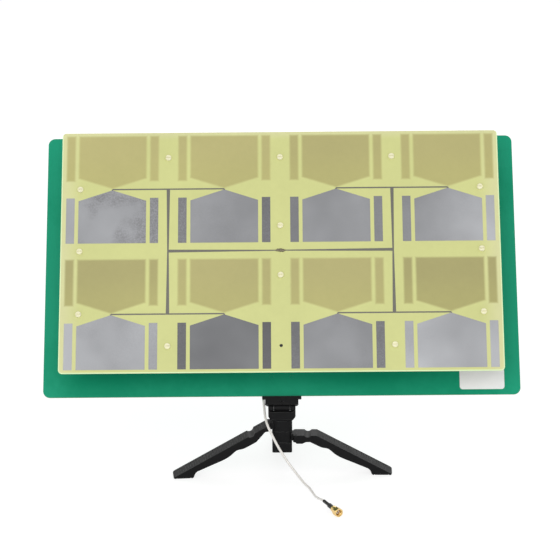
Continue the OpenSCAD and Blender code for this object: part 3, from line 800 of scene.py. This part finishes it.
def make_plain(name, colour, rough, metallic=0.0, grain_scale=1500.0, grain_depth=0.00003,
               edge_highlight=None, edge_radius=0.0004, spread=0.08, cloud_scale=70.0, **sockets):
    """Moulded, painted or plated finish: cloudy tone, fine grain and painted highlights along the
    edges.
    """
    tree, shader = new_finish(name, Metallic=metallic, **sockets)
    cloud = use_group(tree, mottle, Scale=cloud_scale, Fine=cloud_scale * 9)["Value"]
    base = toned(tree, (*colour, 1), cloud, 0.3, 0.7, 1 - spread, 1 + spread)
    edges = use_group(tree, soft_edge, Radius=edge_radius)
    # painted highlight: a lighter colour mixed over the finish along its edges
    if edge_highlight:
        base = mix_colour(tree, math_node(tree, "MULTIPLY", edges["Edge"], 0.6), base,
                          (*edge_highlight, 1))
    grain = use_group(tree, fine_grain, Scale=grain_scale)["Height"]
    roughness = straight_between(tree, cloud, 0.3, 0.7, rough - 0.05, rough + 0.05)
    feed(tree, shader, Base_Color=base, Roughness=roughness,
         Normal=bump(tree, grain, 0.35, grain_depth, edges["Normal"]))


BRAID_ROUND = 8
BRAID_PER_CM = 10


def make_coax_jacket():
    """Clear jacket over a fine tinned braid."""
    tree, shader = new_finish("coax_jacket", Roughness=0.3, IOR=1.36, Coat_Weight=0.6,
                              Coat_Roughness=0.12, Metallic=0.0)
    uv = put(tree, "ShaderNodeUVMap", uv_map="UVMap")
    parts = put(tree, "ShaderNodeSeparateXYZ", {0: uv.outputs[0]})
    round_turn = math_node(tree, "MULTIPLY", parts.outputs[0], BRAID_ROUND)
    along = math_node(tree, "MULTIPLY", parts.outputs[1], BRAID_PER_CM)
    waves = []
    for operation in ("ADD", "SUBTRACT"):
        turn = math_node(tree, operation, round_turn, along)
        waves.append(math_node(tree, "SINE", math_node(tree, "MULTIPLY", turn, 2 * math.pi)))
    braid = straight_between(tree, math_node(tree, "MULTIPLY", *waves), -1, 1, 0, 1)
    base = mix_colour(tree, braid, (0.66, 0.62, 0.58, 1), (0.92, 0.90, 0.87, 1))
    feed(tree, shader, Base_Color=base, Normal=bump(tree, braid, 0.25, 0.00008))


make_board_epoxy()
make_tinned_copper()
make_solder_mask()
make_coax_jacket()
make_plain("solder", (0.16, 0.14, 0.095), 0.38, metallic=0.6, spread=0.35, cloud_scale=900.0,
           grain_depth=0.0001)
make_plain("label", (0.86, 0.86, 0.86), 0.45, grain_scale=700.0, spread=0.03)
make_plain("nylon", (0.82, 0.79, 0.53), 0.42, spread=0.04, edge_radius=0.0005,
           Subsurface_Weight=0.15, Subsurface_Radius=(0.002, 0.002, 0.0015))
make_plain("black_oxide", (0.012, 0.012, 0.013), 0.4, metallic=0.4, spread=0.2)
make_plain("rubber", (0.013, 0.013, 0.013), 0.75, grain_depth=0.00006, spread=0.15,
           Specular_IOR_Level=0.15)
# The edge colours below are painted highlights along the edges.
make_plain("bracket_paint", (0.022, 0.022, 0.024), 0.55, grain_scale=1100.0,
           grain_depth=0.00012, spread=0.12, edge_highlight=(0.06, 0.06, 0.062),
           Specular_IOR_Level=0.25)
make_plain("zinc_steel", (0.58, 0.58, 0.60), 0.34, metallic=1.0, spread=0.1,
           edge_highlight=(0.75, 0.75, 0.76))
make_plain("tripod_plastic", (0.006, 0.006, 0.0065), 0.5, grain_scale=1800.0,
           grain_depth=0.00006, edge_highlight=(0.15, 0.15, 0.15), edge_radius=0.0005,
           spread=0.25, Specular_IOR_Level=0.11)
make_plain("shrink_tube", (0.014, 0.014, 0.014), 0.42, grain_scale=800.0, grain_depth=0.0001,
           spread=0.15, Specular_IOR_Level=0.25)
make_plain("gold_plate", (0.80, 0.56, 0.22), 0.24, metallic=1.0, spread=0.1,
           edge_highlight=(0.92, 0.74, 0.40), edge_radius=0.00025)
make_plain("ptfe", (0.86, 0.86, 0.84), 0.45, spread=0.03)
make_plain("silicone", (0.42, 0.06, 0.03), 0.5, spread=0.1)

for part in frame["record"]["subparts"]:
    piece = nodes[part["node"]]
    piece.data.materials.clear()
    piece.data.materials.append(finishes[part["material_slot"]])
new_pieces = [(lead, "coax_jacket"), (camera_bolt, "zinc_steel"), (feed_joint, "solder"),
              (nut_thread, "gold_plate"), (spacer_stud, "black_oxide")]
new_pieces += [(stud, "black_oxide") for stud in bracket_fixings]
for piece, slot in new_pieces:
    piece.data.materials.clear()
    piece.data.materials.append(finishes[slot])

# The flush ends of the bracket's studs lie under the reflector's green lacquer.
for stud in bracket_fixings:
    stud.data.materials.append(finishes["solder_mask"])
    for face in stud.data.polygons:
        if face.normal.dot(DEPTH_WAY) < -0.99:
            face.material_index = 1

# ---------- studio ----------


def background_share(tree):
    """1 for what the camera, gloss or glass sees, 0 for light on its way."""
    path = put(tree, "ShaderNodeLightPath")
    share = math_node(tree, "MAXIMUM", path.outputs["Is Camera Ray"],
                      path.outputs["Is Glossy Ray"])
    return math_node(tree, "MAXIMUM", share, path.outputs["Is Transmission Ray"])


FLOOR_WIDE = 30
AIM = (0, 0, 0.15)


def add_floor():
    """Pale floor that shows the object's shadow and gives back a plain card's light."""
    bpy.ops.object.select_all(action="DESELECT")
    bpy.ops.mesh.primitive_plane_add(size=FLOOR_WIDE, location=(0, 0, 0))
    floor = bpy.context.object
    floor.name = "studio_floor"
    pale = bpy.data.materials.new("studio_floor")
    pale.use_nodes = True
    tree = pale.node_tree
    tree.nodes.clear()
    share = background_share(tree)
    card = put(tree, "ShaderNodeBsdfDiffuse", {"Color": (0.85, 0.85, 0.85, 1)})
    shown = put(tree, "ShaderNodeBsdfDiffuse", {"Color": (0.30, 0.30, 0.30, 1)})
    glow = put(tree, "ShaderNodeEmission", {"Color": (1, 1, 1, 1), "Strength": 0.80})
    both = put(tree, "ShaderNodeAddShader", {0: shown.outputs[0], 1: glow.outputs[0]})
    mixed = put(tree, "ShaderNodeMixShader", {0: share, 1: card.outputs[0], 2: both.outputs[0]})
    put(tree, "ShaderNodeOutputMaterial", {"Surface": mixed.outputs[0]})
    floor.data.materials.append(pale)


def add_world():
    """Even room light, with a white backdrop."""
    world = bpy.data.worlds.new("studio_world")
    world.use_nodes = True
    tree = world.node_tree
    tree.nodes.clear()
    share = background_share(tree)
    room = put(tree, "ShaderNodeBackground", {"Color": (1, 1, 1, 1), "Strength": 0.66})
    white = put(tree, "ShaderNodeBackground", {"Color": (1, 1, 1, 1), "Strength": 1.0})
    mixed = put(tree, "ShaderNodeMixShader", {0: share, 1: room.outputs[0], 2: white.outputs[0]})
    put(tree, "ShaderNodeOutputWorld", {"Surface": mixed.outputs[0]})
    bpy.context.scene.world = world


def add_softbox(name, place, size, power):
    """Rectangular lamp aimed at the tripod's head."""
    light = bpy.data.lights.new(name, "AREA")
    light.shape = "RECTANGLE"
    light.size, light.size_y = size
    light.energy = power
    softbox = bpy.data.objects.new(name, light)
    bpy.context.scene.collection.objects.link(softbox)
    softbox.location = place
    softbox.rotation_euler = (Vector(AIM) - Vector(place)).to_track_quat("-Z", "Y").to_euler()


add_floor()
add_world()
add_softbox("softbox_front", (-0.5, -2.6, 1.25), (2.0, 1.4), 30)
add_softbox("softbox_side", (2.0, -1.2, 1.2), (1.0, 1.4), 6)
add_softbox("softbox_back", (0.3, 2.1, 1.6), (1.8, 1.0), 14)
bpy.context.scene.view_settings.view_transform = "Standard"
